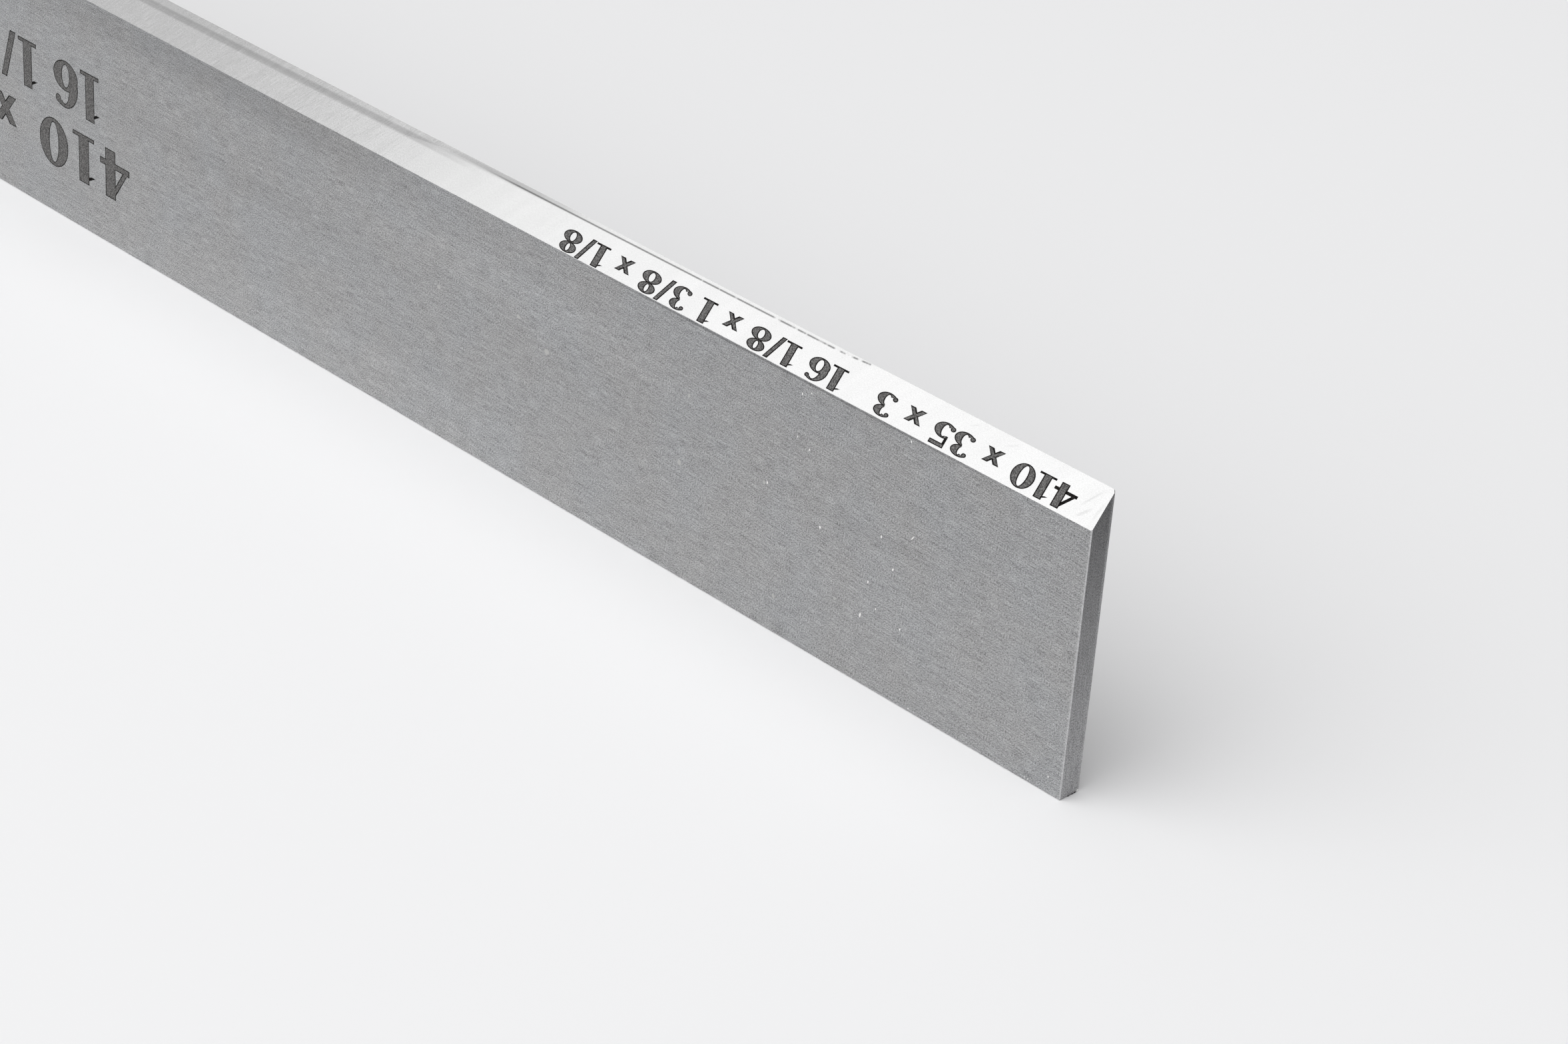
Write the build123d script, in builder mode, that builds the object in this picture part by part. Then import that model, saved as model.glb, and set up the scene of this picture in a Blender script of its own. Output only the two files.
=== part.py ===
from build123d import *
import math
import os

# Planer knife: one flat bar of tool steel, ground to a single bevel
# It stands on its back edge, in millimetres and degrees
# X runs along the blade, Y across its thickness, Z up its width
# The origin is the middle of the back edge

# Bar
blade_length = 410.0
blade_width = 35.0
blade_thickness = 3.0

# Bevel, between the cutting edge on the rear face and the heel on the front face
wedge_angle = 40.0

# Second grind, a shallow strip along the cutting edge, steeper than the bevel by strip_angle
# It starts narrow near the +X end, widens slowly, then steps out to its full width
# Widths are measured down the bevel from the edge, and places from the +X end
strip_angle = 3.0
narrow_strip_starts = 31.0
narrow_strip_width = 0.37
widest_narrow_strip = 0.56
wide_strip_starts = 101.0
wide_strip_width = 1.25
strip_lead_in = 6.0

# Broken edges: all round both ends and along the back, and the two tips of the cutting edge
edge_break = 0.12
tip_break = 0.25

# Section of the bar with its bevel
half_length = blade_length / 2
half_thickness = blade_thickness / 2
bevel_height = blade_thickness / math.tan(math.radians(wedge_angle))
heel_height = blade_width - bevel_height

# Plane in which the second grind's outline is drawn: its origin is on the cutting edge,
# its Y axis stands out of the strip and its Z axis runs down the strip
strip_wedge = math.radians(wedge_angle + strip_angle)
strip_plane = Plane(
    origin=(0, half_thickness, blade_width),
    x_dir=(1, 0, 0),
    z_dir=(0, -math.sin(strip_wedge), -math.cos(strip_wedge)),
)

# How far the cuts run out past the bar
clear = blade_thickness


def strip_point(from_end, width, above=0.0):
    # A point of the second grind's outline, where the strip is this wide
    depth = width * math.sin(math.radians(strip_angle))
    return (half_length - from_end, above - depth)


with BuildPart() as planer_knife:
    # Flat bar with the bevel on its upper edge
    with BuildSketch(Plane.YZ) as section:
        with BuildLine():
            Polyline(
                (-half_thickness, 0),
                (half_thickness, 0),
                (half_thickness, blade_width),
                (-half_thickness, heel_height),
                close=True,
            )
        make_face()
    extrude(amount=half_length, both=True)

    # Broken edges: along the back, and round the back and sides of each end
    back_edges = planer_knife.edges().filter_by(Axis.X).group_by(Axis.Z)[0]
    end_edges = planer_knife.edges().filter_by(Axis.Y) + planer_knife.edges().filter_by(Axis.Z)
    chamfer(back_edges + end_edges, edge_break)

    # Second grind: the outline of what it takes off, pushed down the strip
    # Its first line comes in from above and meets the cutting edge where the strip starts
    with BuildSketch(strip_plane) as ground_away:
        with BuildLine():
            Polyline(
                strip_point(narrow_strip_starts - strip_lead_in, -narrow_strip_width),
                strip_point(narrow_strip_starts + strip_lead_in, narrow_strip_width),
                strip_point(wide_strip_starts, widest_narrow_strip),
                strip_point(wide_strip_starts + strip_lead_in, wide_strip_width),
                strip_point(blade_length + clear, wide_strip_width),
                strip_point(blade_length + clear, 0, above=clear),
                strip_point(narrow_strip_starts - strip_lead_in, 0, above=clear),
                close=True,
            )
        make_face()
    extrude(amount=clear, both=True, mode=Mode.SUBTRACT)

    # Broken tips of the cutting edge, the same at both ends
    with BuildSketch(Plane.XZ) as broken_tips:
        for side in (1, -1):
            with BuildLine():
                Polyline(
                    (side * (half_length - tip_break), blade_width),
                    (side * half_length, blade_width),
                    (side * half_length, blade_width - tip_break),
                    close=True,
                )
            make_face()
    extrude(amount=clear, both=True, mode=Mode.SUBTRACT)

planer_knife.part.label = "planer_knife"

os.makedirs("parts", exist_ok=True)
export_step(planer_knife.part, "parts/planer_knife.step")
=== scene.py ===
import math
import random

import bpy
from mathutils import Matrix, Vector
from mathutils.geometry import delaunay_2d_cdt


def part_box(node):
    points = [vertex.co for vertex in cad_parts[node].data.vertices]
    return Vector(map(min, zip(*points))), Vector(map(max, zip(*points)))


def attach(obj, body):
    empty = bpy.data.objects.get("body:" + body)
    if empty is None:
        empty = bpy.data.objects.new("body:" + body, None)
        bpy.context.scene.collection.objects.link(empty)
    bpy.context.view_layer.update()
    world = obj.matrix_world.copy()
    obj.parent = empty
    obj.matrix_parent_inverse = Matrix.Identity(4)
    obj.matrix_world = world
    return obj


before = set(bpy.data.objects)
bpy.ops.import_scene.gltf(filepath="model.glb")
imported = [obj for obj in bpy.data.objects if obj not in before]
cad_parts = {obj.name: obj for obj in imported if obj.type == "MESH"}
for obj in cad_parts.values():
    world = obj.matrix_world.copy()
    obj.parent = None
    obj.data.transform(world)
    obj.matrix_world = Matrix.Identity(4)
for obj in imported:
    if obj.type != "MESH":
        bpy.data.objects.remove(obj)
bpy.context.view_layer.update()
print("frame loaded")

mm = 0.001  # everything below is in metres
touching = 0.01 * mm  # closer than this counts as lying on a face
noiseMiddle = 0.5  # the noise runs from 0 to 1 about this
alongX = Vector((1, 0, 0))
alongY = Vector((0, 1, 0))
alongZ = Vector((0, 0, 1))

# the knife as it was packed: back edge down, front face towards -Y, cutting edge up at +Y
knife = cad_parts["planer_knife"]
knifeLow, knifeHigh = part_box("planer_knife")
knifeLength = knifeHigh.x - knifeLow.x
knifeCorners = [corner.co.copy() for corner in knife.data.vertices]
heelHeight = max(corner.z for corner in knifeCorners if corner.y < knifeLow.y + touching)
heel = Vector((0, knifeLow.y, heelHeight))
cuttingEdge = Vector((0, knifeHigh.y, knifeHigh.z))
bevelWidth = (cuttingEdge - heel).length
upBevel = (cuttingEdge - heel).normalized()
bevelFacing = alongX.cross(upBevel)


def linearColour(hexCode):
    shades = [int(hexCode[i:i + 2], 16) / 255 for i in (1, 3, 5)]
    return [s / 12.92 if s <= 0.04045 else ((s + 0.055) / 1.055) ** 2.4 for s in shades] + [1]


def addNode(tree, kind, inputs=None, **settings):
    node = tree.nodes.new("ShaderNode" + kind)
    for name, value in settings.items():
        setattr(node, name, value)
    for name, value in (inputs or {}).items():
        if isinstance(value, bpy.types.NodeSocket):
            tree.links.new(value, node.inputs[name])
        else:
            node.inputs[name].default_value = value
    return node


def newMaterial(name):
    material = bpy.data.materials.new(name)
    material.use_nodes = True
    material.node_tree.nodes.clear()
    return material


# 1. Ground steel
# High-speed steel with 18 percent tungsten, finished on a surface grinder. The wheel leaves
# fine parallel scratches, so the metal looks matt grey across them and streaky along them: it
# is a metal with a rough, stretched highlight, not a mirror.
groundSteel = {
    "name": "ground high-speed steel",
    "anisotropic": 0.3,
    "squarely": 0.99,  # how squarely a place has to face that way to belong to a face
    # broken edges and corners, which belong to none of the faces
    "edges": {"across": (0, 0.7, 0.7), "colour": "#BFBFC0", "finish": (0.36, 0.35, 0.3)},
    # each face: the way it faces, how its scratches run, its colour, and its finish as
    # (roughness, contrast of the scratches, depth of the scratches)
    "faces": {
        "broad": {
            "facing": (0, 1, 0),
            "leaning": 7,  # degrees that the scratches run down towards the +X end
            "colour": "#9E9E9E",
            "finish": (0.40, 1.0, 1.0),
            "paintedShade": (1.08, 0.97),  # painted shade: lighter at the back edge and darker up at the cutting edge
        },
        "bevel": {
            "facing": bevelFacing,
            "leaning": 35,  # degrees that the scratches lean from straight up the bevel
            "colour": "#AEAEAE",
            "finish": (0.17, 0.14, 0.02),
        },
        "end": {
            "facing": (1, 0, 0),
            "along": (0, 0, 1),
            "across": (0, 1, 0),
            "colour": "#878788",
            "finish": (0.45, 0.9, 1.0),
            "paintedShade": (1.65, 0.48),  # painted shade: the ends are painted darker towards the cutting edge
        },
        "back": {
            "facing": (0, 0, 1),
            "along": (1, 0, 0),
            "across": (0, 1, 0),
            "colour": "#9E9E9E",
            "finish": (0.40, 1.0, 1.0),
        },
    },
    # scratches in mm, and what they do to the colour and the surface. Single grit marks are
    # under 0.05 mm wide, too fine to show here, so each is drawn as a bundle of them. The first
    # are short and make the even grain, and the others are the longer streaks over it. Those
    # that don't lean run straight along the broad faces.
    "scratches": [
        {"length": 0.18, "width": 0.08, "colour": 2.50, "depth": 0.6, "leans": True},
        {"length": 1.8, "width": 0.085, "colour": 1.10, "depth": 1.0, "leans": True},
        {"length": 4.5, "width": 0.26, "colour": 0.34, "depth": 0.3, "leans": False},
    ],
    # broad soft bands that the wheel leaves, the same on every face
    "bands": {"length": 40.0, "width": 1.6, "colour": 0.08, "leans": False},
    "scratchDepth": 0.0012,  # mm
    "scratchRoughness": 0.25,  # how much the roughness follows the scratches
    # slow cloudiness in mm, which also tints the broad faces: no tint at the lower end of the
    # patches, and tinted by this share at the upper end
    "clouds": {"size": 9.0, "colour": 0.05, "tint": "#9C9EA0", "patches": (0.4, 0.65),
               "tinted": 0.5},
    # the dark line at the foot of the narrow strip, in mm, broken by gaps where the strip starts
    "stripLine": {
        "halfWidth": 0.16,
        "darkening": 0.72,
        "endsAt": 94.0,  # from the +X end
        "fadeLength": 6.0,
        "startsAt": 0.12,  # of the strip's greatest width
        "unbroken": (0.28, 0.42),  # of that width too: the gaps fill up from one to the other
        "gapLength": 1.3,
        "gapEdges": (0.42, 0.62),  # the noise is a gap below the first and none above the second
        "gapFilling": 0.5,  # what is added to that noise once the line is unbroken
        "tipClearance": 1.0,  # corners nearer to an end belong to the broken tips
        "deepest": 0.6,  # of the bevel's width: corners further down belong to the heel
    },
    # the darker band in the wide strip: places in mm from the +X end, and mm up the bevel
    "stripBand": {"fadesIn": (94.0, 105.0), "at": ((107.0, 3.66), (150.0, 3.36)),
                  "halfWidth": 0.55, "solid": 0.4, "darkening": 0.26},
    "softLineSolid": 0.2,  # share of a soft line's half width and half length before it fades
    # soft lines: face, from and to as (mm from the +X end, mm up that face), width in mm,
    # and how much lighter or darker. On the end the first number is mm back from its middle.
    # The short lines on the bevel and the thin ones on the broad face are rubbed marks and
    # scratches, and the wide ones on the broad face are soft lighter and darker bands. The lighter
    # lines on the end and along the +X edge of the broad face are painted highlights, and the
    # dark line just under the heel is a painted shadow.
    "rubbed": [
        # painted highlights: the two lighter lines on the end
        ("end", (1.45, 8.0), (1.45, 60.0), 1.15, 0.70),
        ("end", (1.45, -4.0), (1.45, 14.0), 0.90, 0.28),
        # painted highlight along the +X edge of the broad face
        ("broad", (0.15, -4.0), (0.15, 40.0), 0.55, 0.11),
        ("bevel", (2.9, 1.5), (0.8, 4.4), 0.34, -0.13),
        ("bevel", (2.8, 0.3), (1.0, 2.2), 0.55, -0.14),
        ("bevel", (0.7, 0.5), (0.2, 3.4), 0.50, -0.08),
        ("bevel", (19.0, 3.6), (17.6, 4.3), 0.30, -0.08),
        ("bevel", (14.2, 3.3), (12.0, 4.4), 0.40, -0.06),
        ("bevel", (107.0, 4.15), (73.0, 4.5), 1.1, -0.30),
        # painted shadow: the dark line just under the heel
        ("broad", (84.0, 31.2), (1.0, 31.25), 0.40, -0.38),
        # scratches, rubbed marks and soft lighter and darker bands
        ("broad", (36.0, 18.7), (13.0, 18.5), 0.26, -0.12),
        ("broad", (36.8, 23.3), (31.8, 23.3), 0.12, 0.16),
        ("broad", (21.0, 23.4), (17.6, 23.4), 0.14, 0.18),
        ("broad", (27.5, 26.4), (22.0, 26.5), 0.10, 0.12),
        ("broad", (19.0, 24.9), (12.0, 25.0), 0.10, 0.12),
        ("broad", (9.4, 23.4), (13.8, 17.6), 1.0, 0.05),
        ("broad", (13.9, 18.2), (11.6, 11.0), 1.0, 0.05),
        ("broad", (12.5, 22.0), (0.3, 27.7), 1.2, 0.05),
        ("broad", (122.0, 24.6), (52.0, 24.8), 4.4, 0.075),
        ("broad", (128.0, 22.1), (34.0, 22.1), 2.4, 0.075),
        ("broad", (175.0, 5.0), (55.0, 5.0), 5.0, 0.07),
        ("broad", (205.0, 1.2), (28.0, 1.2), 5.5, 0.08),
        ("broad", (185.0, 18.6), (95.0, 19.0), 5.5, -0.06),
        ("broad", (205.0, 29.2), (85.0, 30.6), 7.2, -0.125),
        ("broad", (48.0, 17.2), (14.0, 18.2), 2.6, -0.045),
    ],
}

# where the places on each face are measured from, and the two ways in which they run
faceAxes = {
    "bevel": (Vector((knifeHigh.x, heel.y, heel.z)), -alongX, upBevel),
    "broad": (Vector((knifeHigh.x, knifeLow.y, knifeLow.z)), -alongX, alongZ),
    "end": (Vector((knifeHigh.x, 0, knifeLow.z)), alongY, alongZ),
}


def leanScratches(face, along, across):
    leaning = math.radians(face["leaning"])
    face["along"] = math.cos(leaning) * along + math.sin(leaning) * across
    face["across"] = math.cos(leaning) * across - math.sin(leaning) * along


leanScratches(groundSteel["faces"]["bevel"], upBevel, alongX)
leanScratches(groundSteel["faces"]["broad"], alongX, -alongZ)


def stripProfile(line):
    # where the second grind meets the bevel, read from the knife's own corners: places along X
    # and how far down the bevel from the cutting edge, clear of the broken tips and the heel
    profile = {}
    for corner in knifeCorners:
        offBevel = abs((corner - cuttingEdge).dot(bevelFacing))
        down = (cuttingEdge - corner).dot(upBevel)
        inside = knifeHigh.x - abs(corner.x) > line["tipClearance"] * mm
        if inside and offBevel < touching and down < line["deepest"] * bevelWidth:
            x = round(corner.x, 5)
            profile[x] = max(down, profile.get(x, 0))
    return sorted(profile.items())


def pickFaces(tree, place, recipe):
    # a mask for each face by the way it points, and the values of whichever face this is
    masks = {}
    along, across = alongX, recipe["edges"]["across"]
    colour = linearColour(recipe["edges"]["colour"])
    finish = recipe["edges"]["finish"]
    for name, face in recipe["faces"].items():
        towards = addNode(tree, "VectorMath", {0: place["Normal"], 1: face["facing"]},
                          operation="DOT_PRODUCT").outputs["Value"]
        if name != "bevel":  # the others look the same whichever of the two ways they face
            towards = addNode(tree, "Math", {0: towards}, operation="ABSOLUTE").outputs[0]
        mask = addNode(tree, "Math", {0: towards, 1: recipe["squarely"]},
                       operation="GREATER_THAN").outputs[0]
        masks[name] = mask
        along = addNode(tree, "Mix", {0: mask, 4: along, 5: face["along"]},
                        data_type="VECTOR").outputs[1]
        across = addNode(tree, "Mix", {0: mask, 4: across, 5: face["across"]},
                         data_type="VECTOR").outputs[1]
        colour = addNode(tree, "Mix", {0: mask, 6: colour, 7: linearColour(face["colour"])},
                         data_type="RGBA").outputs[2]
        finish = addNode(tree, "Mix", {0: mask, 4: finish, 5: face["finish"]},
                         data_type="VECTOR").outputs[1]
    return masks, along, across, colour, finish


def layAlong(tree, position, along, across):
    # coordinates that run along the scratches and across them
    u = addNode(tree, "VectorMath", {0: position, 1: along}, operation="DOT_PRODUCT")
    v = addNode(tree, "VectorMath", {0: position, 1: across}, operation="DOT_PRODUCT")
    return addNode(tree, "CombineXYZ", {0: u.outputs["Value"], 1: v.outputs["Value"]}).outputs[0]


def streaksOf(tree, laid, size):
    # noise about zero, stretched to the length and the width of one kind of scratch
    perMetre = (1 / (size["length"] * mm), 1 / (size["width"] * mm), 1)
    stretched = addNode(tree, "VectorMath", {0: laid[size["leans"]], 1: perMetre},
                        operation="MULTIPLY").outputs[0]
    streaks = addNode(tree, "TexNoise", {"Vector": stretched, "Scale": 1, "Detail": 2},
                      noise_dimensions="2D").outputs[0]
    return addNode(tree, "Math", {0: streaks, 1: noiseMiddle}, operation="SUBTRACT").outputs[0]


def nearLine(tree, away, halfWidth, solid):
    # 1 on a line, and smoothly down to 0 at its half width
    away = addNode(tree, "Math", {0: away}, operation="ABSOLUTE").outputs[0]
    return addNode(tree, "MapRange", {0: away, 1: halfWidth, 2: solid},
                   interpolation_type="SMOOTHSTEP").outputs[0]


def changeShade(tree, shade, where, change):
    # lighter or darker by that share of itself
    changed = addNode(tree, "Math", {0: where, 1: change, 2: 1.0},
                      operation="MULTIPLY_ADD").outputs[0]
    return addNode(tree, "Math", {0: shade, 1: changed}, operation="MULTIPLY").outputs[0]


def shadeUpwards(tree, here, shade, recipe):
    # painted shade: some faces are painted lighter or darker from the back edge upwards
    for name, face in recipe["faces"].items():
        if "paintedShade" in face:
            foot, top = face["paintedShade"]
            upwards = addNode(tree, "MapRange", {0: here["z"], 1: knifeLow.z, 2: knifeHigh.z,
                                                 3: foot, 4: top}).outputs[0]
            upwards = addNode(tree, "Mix", {0: here["masks"][name], 2: 1.0, 3: upwards}).outputs[0]
            shade = addNode(tree, "Math", {0: shade, 1: upwards}, operation="MULTIPLY").outputs[0]
    return shade


def drawRubbedMarksAndPaintedLight(tree, here, shade, recipe):
    # each soft line, lighter or darker by its share: rubbed marks and bands, and the painted
    # highlights and painted shadow
    for name, start, stop, width, change in recipe["rubbed"]:
        origin, right, upwards = faceAxes[name]
        ends = [origin + a * mm * right + b * mm * upwards for a, b in (start, stop)]
        middle = (ends[0] + ends[1]) / 2
        line = ends[1] - ends[0]
        facing = Vector(recipe["faces"][name]["facing"])
        side = line.cross(facing).normalized() / (width / 2 * mm)
        line = line.normalized() / (line.length / 2)
        fromMiddle = addNode(tree, "VectorMath", {0: here["position"], 1: -middle},
                             operation="ADD").outputs[0]
        rubbed = here["masks"][name]
        for reach in (line, side):
            away = addNode(tree, "VectorMath", {0: fromMiddle, 1: reach},
                           operation="DOT_PRODUCT").outputs["Value"]
            near = nearLine(tree, away, 1.0, recipe["softLineSolid"])
            rubbed = addNode(tree, "Math", {0: rubbed, 1: near}, operation="MULTIPLY").outputs[0]
        shade = changeShade(tree, shade, rubbed, change)
    return shade


def drawStripLine(tree, here, shade, line):
    # the dark line where the second grind's narrow strip meets the bevel
    profile = stripProfile(line)
    widest = max(width for _, width in profile)
    fromLeft = addNode(tree, "MapRange", {0: here["x"], 1: knifeLow.x, 2: knifeHigh.x}).outputs[0]
    ramp = addNode(tree, "ValToRGB", {0: fromLeft})
    stops = ramp.color_ramp.elements
    while len(stops) < len(profile):
        stops.new(0.5)  # each is moved to its place below
    for stop, (x, width) in zip(stops, profile):
        stop.position = (x - knifeLow.x) / knifeLength
        stop.color = [width / widest] * 3 + [1]
    share = ramp.outputs[0]  # the strip's width here, of its greatest width
    off = addNode(tree, "Math", {0: share, 1: -widest, 2: here["down"]},
                  operation="MULTIPLY_ADD").outputs[0]
    near = nearLine(tree, off, line["halfWidth"] * mm, 0.0)

    gaps = addNode(tree, "TexNoise", {"W": here["x"], "Scale": 1 / (line["gapLength"] * mm)},
                   noise_dimensions="1D").outputs[0]
    broken, unbroken = line["unbroken"]
    filling = addNode(tree, "MapRange", {0: share, 1: broken, 2: unbroken,
                                         3: 0.0, 4: line["gapFilling"]}).outputs[0]
    gaps = addNode(tree, "Math", {0: gaps, 1: filling}, operation="ADD").outputs[0]
    lowest, highest = line["gapEdges"]
    gaps = addNode(tree, "MapRange", {0: gaps, 1: lowest, 2: highest}).outputs[0]
    started = addNode(tree, "Math", {0: share, 1: line["startsAt"]},
                      operation="GREATER_THAN").outputs[0]
    fading = line["endsAt"] - line["fadeLength"]
    narrow = addNode(tree, "MapRange", {0: here["x"], 1: knifeHigh.x - line["endsAt"] * mm,
                                        2: knifeHigh.x - fading * mm}).outputs[0]
    for part in (gaps, started, narrow, here["masks"]["bevel"]):
        near = addNode(tree, "Math", {0: near, 1: part}, operation="MULTIPLY").outputs[0]
    return changeShade(tree, shade, near, -line["darkening"])


def drawStripBand(tree, here, shade, band):
    # the darker band in its wide strip
    (near, nearUp), (far, farUp) = band["at"]
    middle = addNode(tree, "MapRange", {
        0: here["x"],
        1: knifeHigh.x - near * mm,
        2: knifeHigh.x - far * mm,
        3: bevelWidth - nearUp * mm,
        4: bevelWidth - farUp * mm,
    }).outputs[0]
    off = addNode(tree, "Math", {0: here["down"], 1: middle}, operation="SUBTRACT").outputs[0]
    inside = nearLine(tree, off, band["halfWidth"] * mm, band["solid"] * band["halfWidth"] * mm)
    starts, full = band["fadesIn"]
    fade = addNode(tree, "MapRange", {0: here["x"], 1: knifeHigh.x - starts * mm,
                                      2: knifeHigh.x - full * mm}).outputs[0]
    for part in (fade, here["masks"]["bevel"]):
        inside = addNode(tree, "Math", {0: inside, 1: part}, operation="MULTIPLY").outputs[0]
    return changeShade(tree, shade, inside, -band["darkening"])


def makeGroundSteel(recipe):
    material = newMaterial(recipe["name"])
    tree = material.node_tree
    place = addNode(tree, "TexCoord").outputs
    position = place["Object"]
    masks, along, across, colour, finish = pickFaces(tree, place, recipe)
    roughness, contrast, depth = addNode(tree, "SeparateXYZ", {0: finish}).outputs

    xyz = addNode(tree, "SeparateXYZ", {0: position}).outputs
    fromEdge = addNode(tree, "VectorMath", {0: position, 1: -cuttingEdge}, operation="ADD")
    down = addNode(tree, "VectorMath", {0: fromEdge.outputs[0], 1: -upBevel},
                   operation="DOT_PRODUCT").outputs["Value"]
    here = {"position": position, "x": xyz[0], "z": xyz[2], "down": down, "masks": masks}

    # scratches, laid along whichever face this is: those that lean, and those that run straight
    # along the broad faces
    straight = addNode(tree, "Mix", {0: masks["broad"], 4: along, 5: alongX},
                       data_type="VECTOR").outputs[1]
    upright = addNode(tree, "Mix", {0: masks["broad"], 4: across, 5: alongZ},
                      data_type="VECTOR").outputs[1]
    laid = {True: layAlong(tree, position, along, across),
            False: layAlong(tree, position, straight, upright)}
    shade = 0.0
    height = 0.0
    for scratch in recipe["scratches"]:
        streaks = streaksOf(tree, laid, scratch)
        shade = addNode(tree, "Math", {0: streaks, 1: scratch["colour"], 2: shade},
                        operation="MULTIPLY_ADD").outputs[0]
        height = addNode(tree, "Math", {0: streaks, 1: scratch["depth"], 2: height},
                         operation="MULTIPLY_ADD").outputs[0]
    shade = addNode(tree, "Math", {0: shade, 1: contrast, 2: 1.0},
                    operation="MULTIPLY_ADD").outputs[0]

    # clouds and bands
    cloudRecipe = recipe["clouds"]
    clouds = addNode(tree, "TexNoise", {"Vector": position, "Detail": 2,
                                        "Scale": 1 / (cloudRecipe["size"] * mm)}).outputs[0]
    clear, full = cloudRecipe["patches"]
    tinted = addNode(tree, "MapRange", {0: clouds, 1: clear, 2: full,
                                        3: 0, 4: cloudRecipe["tinted"]}).outputs[0]
    tinted = addNode(tree, "Math", {0: tinted, 1: masks["broad"]}, operation="MULTIPLY").outputs[0]
    colour = addNode(tree, "Mix", {0: tinted, 6: colour, 7: linearColour(cloudRecipe["tint"])},
                     data_type="RGBA").outputs[2]
    clouds = addNode(tree, "Math", {0: clouds, 1: noiseMiddle}, operation="SUBTRACT").outputs[0]
    shade = addNode(tree, "Math", {0: clouds, 1: cloudRecipe["colour"], 2: shade},
                    operation="MULTIPLY_ADD").outputs[0]
    bands = streaksOf(tree, laid, recipe["bands"])
    shade = addNode(tree, "Math", {0: bands, 1: recipe["bands"]["colour"], 2: shade},
                    operation="MULTIPLY_ADD").outputs[0]

    shade = shadeUpwards(tree, here, shade, recipe)
    shade = drawRubbedMarksAndPaintedLight(tree, here, shade, recipe)
    shade = drawStripLine(tree, here, shade, recipe["stripLine"])
    shade = drawStripBand(tree, here, shade, recipe["stripBand"])
    colour = addNode(tree, "VectorMath", {0: colour, "Scale": shade}, operation="SCALE").outputs[0]

    roughness = addNode(tree, "Math", {0: height, 1: recipe["scratchRoughness"], 2: roughness},
                        operation="MULTIPLY_ADD").outputs[0]
    height = addNode(tree, "Math", {0: height, 1: depth}, operation="MULTIPLY").outputs[0]
    bump = addNode(tree, "Bump", {"Height": height, "Strength": 1.0,
                                  "Distance": recipe["scratchDepth"] * mm}).outputs[0]
    steel = addNode(tree, "BsdfPrincipled", {
        "Base Color": colour,
        "Metallic": 1.0,
        "Roughness": roughness,
        "Anisotropic": recipe["anisotropic"],
        "Tangent": across,
        "Normal": bump,
    })
    addNode(tree, "OutputMaterial", {"Surface": steel.outputs[0]})
    return material


knife.data.materials.clear()
knife.data.materials.append(makeGroundSteel(groundSteel))
print("ground steel on the knife")


# 2. Etched size marks
# Electrolytic etching darkens the steel: a black, burnt line round each stroke and a rough,
# spotted grey inside it. Only sizes are marked, in millimetres and in inches.
etchedOxide = {
    "outline": {"name": "burnt oxide at the rim of the etching", "colour": "#0D0C0C",
                "light": "#242221", "speck": 0.25, "roughness": 0.8},
    "core": {"name": "etched grey steel oxide", "colour": "#444343",
             "light": "#787776", "speck": 0.14, "roughness": 0.8},
}
# what all these matt surfaces share, the etched marks and the painted shadow and glint at the
# foot: the noise between which specks turn light, its detail, their depth in mm and strength,
# and next to no sheen
speckle = {"patches": (0.4, 0.65), "detail": 3, "depth": 0.01, "strength": 0.6, "sheen": 0.03}


def makeOxideAndPaintedLight(recipe):
    # a speckled matt surface: etched oxide on the marks, and the painted shadow and painted glint
    # at the foot of the +X end
    material = newMaterial(recipe["name"])
    tree = material.node_tree
    position = addNode(tree, "TexCoord").outputs["Object"]
    specks = addNode(tree, "TexNoise", {"Vector": position, "Detail": speckle["detail"],
                                        "Scale": 1 / (recipe["speck"] * mm)}).outputs[0]
    dark, light = speckle["patches"]
    lighter = addNode(tree, "MapRange", {0: specks, 1: dark, 2: light}).outputs[0]
    colour = addNode(tree, "Mix", {0: lighter, 6: linearColour(recipe["colour"]),
                                   7: linearColour(recipe["light"])}, data_type="RGBA").outputs[2]
    bump = addNode(tree, "Bump", {"Height": specks, "Strength": speckle["strength"],
                                  "Distance": speckle["depth"] * mm}).outputs[0]
    oxide = addNode(tree, "BsdfPrincipled", {
        "Base Color": colour,
        "Roughness": recipe["roughness"],
        "Specular IOR Level": speckle["sheen"],
        "Normal": bump,
    })
    addNode(tree, "OutputMaterial", {"Surface": oxide.outputs[0]})
    return material


# a wide, bold face with thin serifs; all in heights of a digit
lettering = {
    "thick": 0.29,
    "thin": 0.085,
    "least": 0.006,  # curved strokes never close up altogether
    "closesAt": 3.6,  # straight ones do, once they are narrower than this many insets
    "space": 0.40,
    "arcStep": 12,  # degrees
    "ballStep": 30,
}


def ovalShape(middle, halfWidth, halfHeight, step):
    angles = [math.radians(angle) for angle in range(0, 360, step)]
    return [(middle[0] + halfWidth * math.cos(angle), middle[1] + halfHeight * math.sin(angle))
            for angle in angles]


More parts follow.
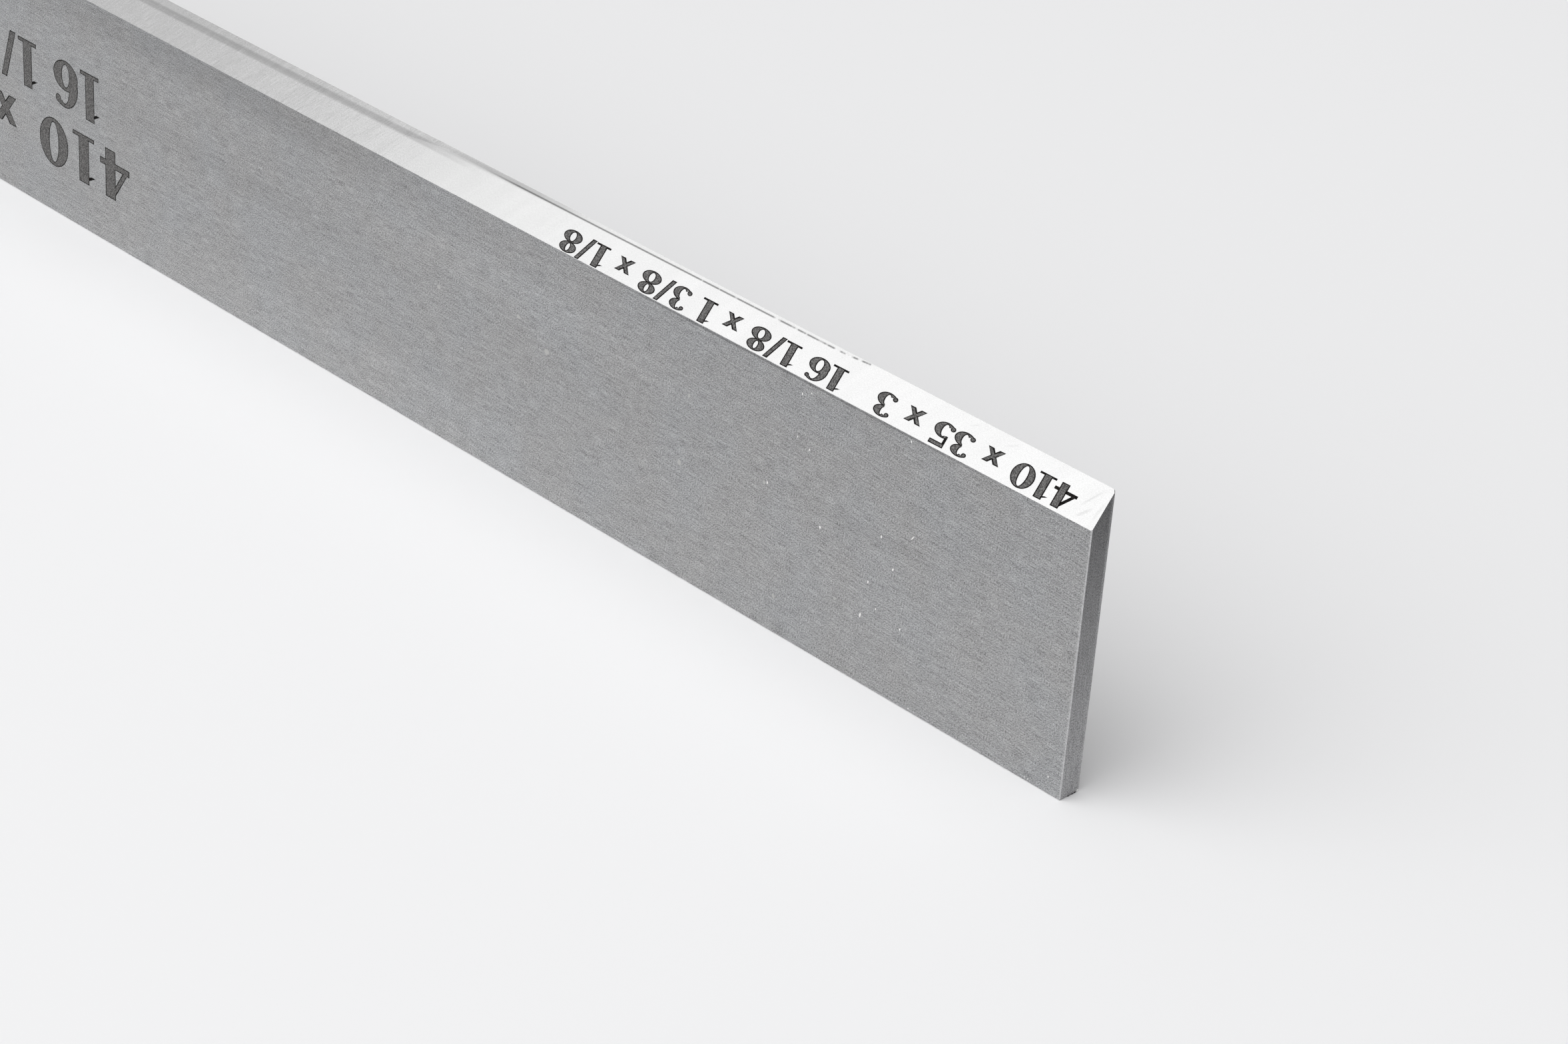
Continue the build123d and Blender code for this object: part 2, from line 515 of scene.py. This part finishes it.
class Strokes:
    # draws one glyph's strokes, each thinner all round by inset

    def __init__(self, inset):
        self.inset = inset
        self.shapes = []

    def bar(self, left, bottom, right, top):
        i = self.inset
        if min(right - left, top - bottom) > lettering["closesAt"] * i:
            self.shapes.append([(left + i, bottom + i), (right - i, bottom + i),
                                (right - i, top - i), (left + i, top - i)])

    def slant(self, bottomLeft, topLeft, width):
        (x0, y0), (x1, y1) = bottomLeft, topLeft
        i = self.inset
        side = i / math.cos(math.atan2(x1 - x0, y1 - y0))
        if width > lettering["closesAt"] * side:
            self.shapes.append([(x0 + side, y0 + i), (x0 + width - side, y0 + i),
                                (x1 + width - side, y1 - i), (x1 + side, y1 - i)])

    def bowl(self, middle, width, height, start, end, weight=None):
        # an arc of an ellipse, thick at its sides and thin at top and bottom
        thick, thin = weight or (lettering["thick"], lettering["thin"])
        out = (width / 2 - self.inset, height / 2 - self.inset)
        cut = (width / 2 - thick + self.inset, height / 2 - thin + self.inset)
        cut = (min(cut[0], out[0] - lettering["least"]), min(cut[1], out[1] - lettering["least"]))
        steps = round((end - start) / lettering["arcStep"])
        rim = []
        for step in range(steps + 1):
            angle = math.radians(start + (end - start) * step / steps)
            c, s = math.cos(angle), math.sin(angle)
            rim.append(((middle[0] + out[0] * c, middle[1] + out[1] * s),
                        (middle[0] + cut[0] * c, middle[1] + cut[1] * s)))
        for (a, b), (c, d) in zip(rim, rim[1:]):
            self.shapes.append([a, c, d, b])

    def ball(self, middle, radius):
        radius -= self.inset
        self.shapes.append(ovalShape(middle, radius, radius, lettering["ballStep"]))


def drawGlyph(pen, glyph):
    # draws the glyph and returns its width
    thick, thin = lettering["thick"], lettering["thin"]
    if glyph == "0":
        pen.bowl((0.42, 0.5), 0.84, 1.0, 0, 360)
        return 0.84
    if glyph == "1":
        pen.bar(0.18, 0, 0.18 + thick, 1)
        pen.bar(0.02, 0, 0.64, thin)
        pen.slant((0.0, 0.80), (0.18, 0.90), 0.12)
        return 0.64
    if glyph == "3":
        pen.bowl((0.36, 0.285), 0.76, 0.57, -140, 90)
        pen.bowl((0.34, 0.765), 0.68, 0.47, -90, 140)
        pen.ball((0.11, 0.16), 0.10)
        pen.ball((0.13, 0.85), 0.09)
        return 0.74
    if glyph == "4":
        pen.bar(0.40, 0, 0.40 + thick, 1)
        pen.bar(0, 0.24, 0.84, 0.24 + 1.5 * thin)
        pen.slant((0.0, 0.26), (0.46, 1.0), 0.13)
        return 0.84
    if glyph == "5":
        pen.bar(0.14, 0.82, 0.70, 1)
        pen.bar(0.14, 0.50, 0.14 + 1.2 * thin, 1)
        pen.bowl((0.35, 0.32), 0.78, 0.64, -140, 125)
        pen.ball((0.11, 0.16), 0.10)
        return 0.74
    if glyph == "6":
        pen.bowl((0.41, 0.32), 0.82, 0.64, 0, 360)
        pen.bowl((0.46, 0.5), 0.92, 1.0, 60, 200)
        pen.ball((0.67, 0.86), 0.09)
        return 0.82
    if glyph == "8":
        pen.bowl((0.40, 0.275), 0.80, 0.55, 0, 360)
        pen.bowl((0.40, 0.755), 0.72, 0.49, 0, 360)
        return 0.80
    if glyph == "x":
        pen.slant((0.0, 0.05), (0.44, 0.65), 0.22)
        pen.slant((0.44, 0.05), (0.0, 0.65), 0.22)
        return 0.66
    if glyph == "/":
        pen.slant((0.0, -0.02), (0.34, 1.02), 0.19)
        return 0.53
    if glyph == "°":
        pen.bowl((0.19, 0.81), 0.38, 0.38, 0, 360, weight=(0.12, 0.085))
        return 0.38
    return lettering["space"]


def etchedShapes(text, height, wide, length, inset):
    # the strokes of a line of text, spread evenly over its length
    pens = []
    for glyph in text:
        pen = Strokes(inset / height)
        pens.append((pen, drawGlyph(pen, glyph) * wide))
    gap = (length / height - sum(width for _, width in pens)) / (len(pens) - 1)
    shapes = []
    at = 0.0
    for pen, width in pens:
        shapes += [[((x * wide + at) * height, y * height) for x, y in shape]
                   for shape in pen.shapes]
        at += width + gap
    return shapes


def joinShapes(shapes):
    # one flat outline from strokes that overlap
    points = [Vector(point) for shape in shapes for point in shape]
    faces = []
    start = 0
    for shape in shapes:
        faces.append(list(range(start, start + len(shape))))
        start += len(shape)
    insideOnly = 1
    sameSpot = 1e-9
    flat, _, triangles, _, _, origins = delaunay_2d_cdt(points, [], faces, insideOnly, sameSpot)
    return flat, [t for t, origin in zip(triangles, origins) if origin]


def makePrism(name, flat, triangles, corner, right, up, proud, sunk, material):
    # a closed thin plate of that outline, mostly sunk into the steel
    facing = right.cross(up)
    used = sorted({i for t in triangles for i in t})
    index = {old: new for new, old in enumerate(used)}
    lids = [corner + flat[i].x * right + flat[i].y * up for i in used]
    count = len(lids)
    vertices = [p + proud * facing for p in lids] + [p - sunk * facing for p in lids]
    faces = []
    rim = {}  # edges that only one triangle has
    for t in triangles:
        a, b, c = (index[i] for i in t)
        turn = (flat[t[1]] - flat[t[0]]).cross(flat[t[2]] - flat[t[0]])
        if turn < 0:
            b, c = c, b
        faces += [(a, b, c), (c + count, b + count, a + count)]
        for first, second in ((a, b), (b, c), (c, a)):
            if (second, first) in rim:
                del rim[(second, first)]
            else:
                rim[(first, second)] = True
    faces += [(second, first, first + count, second + count) for first, second in rim]
    mesh = bpy.data.meshes.new(name)
    mesh.from_pydata(vertices, [], faces)
    mesh.validate()
    mesh.materials.append(material)
    piece = bpy.data.objects.new(name, mesh)
    bpy.context.collection.objects.link(piece)
    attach(piece, "root")


# every mark reads with its top towards the back edge, so it starts at the +X side
marks = {
    "bevel_size_mark": {
        "text": "410 x 35 x 3   16 1/8 x 1 3/8 x 1/8",
        "on": "bevel",
        "starts": 3.4,  # mm from the +X end
        "ends": 78.7,
        "baseline": 1.67,  # mm down from the cutting edge
        "drift": 0.28,  # mm that the line has sunk towards the heel at its far end
        "height": 2.65,
        "wide": 1.34,
    },
    "face_millimetre_mark": {
        "text": "410 x 35 x 3   40°",
        "on": "broad",
        "starts": 157.0,
        "ends": 253.0,
        "baseline": 13.0,  # mm above the back edge
        "drift": 0.0,
        "height": 6.6,
        "wide": 1.1,
    },
    "face_inch_mark": {
        "text": "16 1/8 x 1 3/8 x 1/8",
        "on": "broad",
        "starts": 163.0,
        "ends": 247.0,
        "baseline": 21.7,
        "drift": 0.0,
        "height": 6.4,
        "wide": 0.98,
    },
}
# in mm: the burnt rim's width, how deep the plates go, and how proud each part is of the steel
etching = {"rim": 0.11, "sunk": 0.05, "proud": {"outline": 0.004, "core": 0.008}}

oxides = {part: makeOxideAndPaintedLight(recipe) for part, recipe in etchedOxide.items()}
for markName, mark in marks.items():
    if mark["on"] == "bevel":
        up = -upBevel
        corner = cuttingEdge + mark["baseline"] * mm * up
    else:
        up = -alongZ
        corner = Vector((0, knifeLow.y, mark["baseline"] * mm))
    corner.x = knifeHigh.x - mark["starts"] * mm
    length = (mark["ends"] - mark["starts"]) * mm
    right = (mark["drift"] * mm * up - length * alongX).normalized()
    up = right.cross(up).cross(right)  # square to the drifting line
    for part, inset in (("outline", 0.0), ("core", etching["rim"] * mm)):
        shapes = etchedShapes(mark["text"], mark["height"] * mm, mark["wide"], length, inset)
        flat, triangles = joinShapes(shapes)
        makePrism(markName + "_" + part, flat, triangles, corner, right, up,
                  etching["proud"][part] * mm, etching["sunk"] * mm, oxides[part])
print("size marks etched")


# 3. Nicks and short scratches on the front face
# Steel laid bare there has no grinding lines, so it catches the light from most sides.
nicks = {
    "bright_nicks": {
        "name": "bright bare steel in the nicks",
        "colour": "#F4F4F2",
        "roughness": 0.5,
        # mm from the +X end, mm above the back edge, length and width in mm, lean in degrees
        "places": [
            (23.0, 20.2, 0.75, 0.12, 35), (27.3, 18.4, 0.42, 0.16, 5), (36.0, 15.6, 0.38, 0.25, 0),
            (29.3, 8.1, 0.70, 0.20, 8), (23.6, 9.0, 0.30, 0.18, 20), (28.6, 12.4, 0.36, 0.17, 0),
            (27.2, 9.8, 0.28, 0.12, 0), (25.3, 15.4, 0.34, 0.18, 30), (38.4, 23.8, 0.36, 0.13, 10),
            (40.2, 24.6, 0.32, 0.12, 15), (40.0, 29.7, 0.30, 0.14, 0), (38.7, 30.3, 0.26, 0.12, 0),
            (24.4, 30.8, 0.26, 0.18, 0), (44.1, 17.4, 0.36, 0.18, 0), (1.8, 2.0, 0.34, 0.14, 0),
            (21.4, 0.4, 0.20, 0.14, 0), (4.4, 0.42, 0.22, 0.11, 0), (4.9, 0.4, 0.18, 0.09, 0),
        ],
    },
    "dull_nicks": {
        "name": "half rubbed out nicks in the steel",
        "colour": "#BDBDBB",
        "roughness": 0.5,
        "places": [
            (57.5, 14.0, 0.75, 0.60, 0), (42.0, 4.4, 0.55, 0.45, 0), (79.4, 18.4, 0.75, 0.80, 0),
            (84.3, 20.8, 0.55, 0.60, 0), (56.6, 22.5, 0.45, 0.35, 0), (33.1, 8.3, 0.40, 0.30, 0),
            (98.0, 19.0, 0.50, 0.60, 0), (44.6, 17.2, 0.50, 0.30, 0),
        ],
    },
}
# what all nicks share: ragged outlines, a glinting colour, and in mm the size of the glints and
# how proud and how deep the plates are
nickShape = {"corners": 9, "ragged": (0.8, 1.2), "seed": 7, "glint": 0.1, "glinting": (0.8, 1.1),
             "proud": 0.006, "sunk": 0.05}


def makeBareSteel(recipe):
    material = newMaterial(recipe["name"])
    tree = material.node_tree
    position = addNode(tree, "TexCoord").outputs["Object"]
    glints = addNode(tree, "TexNoise", {"Vector": position,
                                        "Scale": 1 / (nickShape["glint"] * mm)}).outputs[0]
    dull, bright = nickShape["glinting"]
    glints = addNode(tree, "MapRange", {0: glints, 3: dull, 4: bright}).outputs[0]
    colour = addNode(tree, "VectorMath", {0: linearColour(recipe["colour"])[:3], "Scale": glints},
                     operation="SCALE").outputs[0]
    steel = addNode(tree, "BsdfPrincipled", {"Base Color": colour, "Metallic": 1.0,
                                             "Roughness": recipe["roughness"]})
    addNode(tree, "OutputMaterial", {"Surface": steel.outputs[0]})
    return material


def makeNicks(piece, recipe):
    draw = random.Random(nickShape["seed"])
    shapes = []
    for fromEnd, height, length, width, lean in recipe["places"]:
        turn = math.radians(lean)
        shape = []
        for step in range(nickShape["corners"]):
            angle = 2 * math.pi * step / nickShape["corners"]
            swell = draw.uniform(*nickShape["ragged"])
            a = 0.5 * width * swell * math.cos(angle)
            b = 0.5 * length * swell * math.sin(angle)
            shape.append(((fromEnd + a * math.cos(turn) + b * math.sin(turn)) * mm,
                          (-height + b * math.cos(turn) - a * math.sin(turn)) * mm))
        shapes.append(shape)
    flat, triangles = joinShapes(shapes)
    corner = Vector((knifeHigh.x, knifeLow.y, 0))
    makePrism(piece, flat, triangles, corner, -alongX, -alongZ,
              nickShape["proud"] * mm, nickShape["sunk"] * mm, makeBareSteel(recipe))


for piece, recipe in nicks.items():
    makeNicks(piece, recipe)

# the foot of the +X end: a painted shadow along the gap under it, matt and nearly black, and
# a painted glint by its rear corner, a pale matt spot
paintedFootShadowAndGlint = {
    "painted_foot_shadow": {
        "recipe": {"name": "painted shadow under the end", "colour": "#0E0D0C", "light": "#3A3836",
                   "speck": 0.15, "roughness": 0.8},
        # mm across from the middle, mm above the back edge, half widths in mm
        "places": [(-0.15, 0.07, 0.14, 0.06), (0.12, 0.06, 0.08, 0.03), (0.45, 0.08, 0.18, 0.06),
                   (0.80, 0.09, 0.20, 0.06)],
    },
    "painted_foot_glint": {
        "recipe": {"name": "painted glint at the foot", "colour": "#F4F4F2", "light": "#FFFFFF",
                   "speck": 0.2, "roughness": 0.5},
        "places": [(1.22, 0.18, 0.16, 0.16)],
    },
}
footShape = {"step": 45, "proud": 0.01, "sunk": 0.25}  # degrees, mm, mm

for piece, marked in paintedFootShadowAndGlint.items():
    shapes = []
    for y, z, halfWidth, halfHeight in marked["places"]:
        blot = ovalShape((y, z), halfWidth, halfHeight, footShape["step"])
        shapes.append([(a * mm, b * mm) for a, b in blot])
    flat, triangles = joinShapes(shapes)
    corner = Vector((knifeHigh.x, 0, knifeLow.z))
    makePrism(piece, flat, triangles, corner, alongY, alongZ,
              footShape["proud"] * mm, footShape["sunk"] * mm, makeOxideAndPaintedLight(marked["recipe"]))
print("nicks placed")


# 4. Studio: a pale floor, a pale surround and two large soft lights, front left and overhead
# The floor is white card, which scatters the light so evenly that it shows only soft shadows.
studio = {
    "floor": {"name": "matt white studio card", "colour": "#F0F0F1", "roughness": 0.9,
              "sheen": 0.2, "size": 8.0},
    # the surround is brightest on one side and falls off smoothly round to the other
    "surround": {
        "dim": 0.12,
        "bright": 1.56,
        "brightSide": (-0.3, -0.9, 0.3),
        "falloff": 3.0,
    },
    "softboxes": {
        "front_softbox": {"place": (-0.24, -0.75, 0.80), "size": 1.1, "power": 3.8,
                          "aim": (0.05, 0.0, 0.03)},
        "overhead_softbox": {"place": (0.25, -0.05, 1.1), "size": 1.1, "power": 4.4,
                             "aim": (0.15, 0.0, 0.0)},
    },
}


def makeFloor(recipe):
    material = newMaterial(recipe["name"])
    tree = material.node_tree
    card = addNode(tree, "BsdfPrincipled", {
        "Base Color": linearColour(recipe["colour"]),
        "Roughness": recipe["roughness"],
        "Specular IOR Level": recipe["sheen"],
    })
    addNode(tree, "OutputMaterial", {"Surface": card.outputs[0]})
    half = recipe["size"] / 2
    mesh = bpy.data.meshes.new("studio_floor")
    mesh.from_pydata([(-half, -half, 0), (half, -half, 0), (half, half, 0), (-half, half, 0)],
                     [], [(0, 1, 2, 3)])
    mesh.materials.append(material)
    floor = bpy.data.objects.new("studio_floor", mesh)
    floor.location.z = knifeLow.z
    bpy.context.collection.objects.link(floor)


def makeSurround(recipe):
    world = bpy.data.worlds.new("pale surround")
    world.use_nodes = True
    tree = world.node_tree
    sky = addNode(tree, "TexCoord").outputs["Generated"]
    brightSide = Vector(recipe["brightSide"]).normalized()
    side = addNode(tree, "VectorMath", {0: sky, 1: brightSide},
                   operation="DOT_PRODUCT").outputs["Value"]
    side = addNode(tree, "MapRange", {0: side, 1: -1, 2: 1}).outputs[0]
    side = addNode(tree, "Math", {0: side, 1: recipe["falloff"]}, operation="POWER").outputs[0]
    glow = addNode(tree, "MapRange", {0: side, 3: recipe["dim"], 4: recipe["bright"]}).outputs[0]
    tree.links.new(glow, tree.nodes["Background"].inputs["Strength"])
    tree.nodes["Background"].inputs["Color"].default_value = (1, 1, 1, 1)
    bpy.context.scene.world = world


def makeSoftbox(name, recipe):
    light = bpy.data.lights.new(name, "AREA")
    light.size = recipe["size"]
    light.energy = recipe["power"]
    lamp = bpy.data.objects.new(name, light)
    lamp.location = recipe["place"]
    aim = Vector(recipe["aim"]) - lamp.location
    lamp.rotation_euler = aim.to_track_quat("-Z", "Y").to_euler()
    lamp.visible_camera = False
    bpy.context.collection.objects.link(lamp)


makeFloor(studio["floor"])
makeSurround(studio["surround"])
for name, softbox in studio["softboxes"].items():
    makeSoftbox(name, softbox)
bpy.context.scene.view_settings.view_transform = "Standard"
print("studio lit")


# 5. Camera: above the +X end, looking along the blade and down on it
photoView = {
    "place": (0.41414, -0.26523, 0.21826),
    "right": (0.69726, 0.7137, 0.06675),
    "down": (0.39188, -0.30157, -0.86919),
    "ahead": (-0.60021, 0.63221, -0.48996),
    "lens": 90.66,
    "sensor": 36.0,
    "nearest": 0.01,
}


def makeCamera(recipe):
    data = bpy.data.cameras.new("photo_view")
    data.lens = recipe["lens"]
    data.sensor_width = recipe["sensor"]
    data.clip_start = recipe["nearest"]
    camera = bpy.data.objects.new("photo_view", data)
    axes = (Vector(recipe["right"]), -Vector(recipe["down"]), -Vector(recipe["ahead"]))
    turn = Matrix([axis.normalized() for axis in axes]).transposed().to_4x4()
    camera.matrix_world = Matrix.Translation(recipe["place"]) @ turn
    bpy.context.collection.objects.link(camera)
    bpy.context.scene.camera = camera


makeCamera(photoView)
print("camera set")
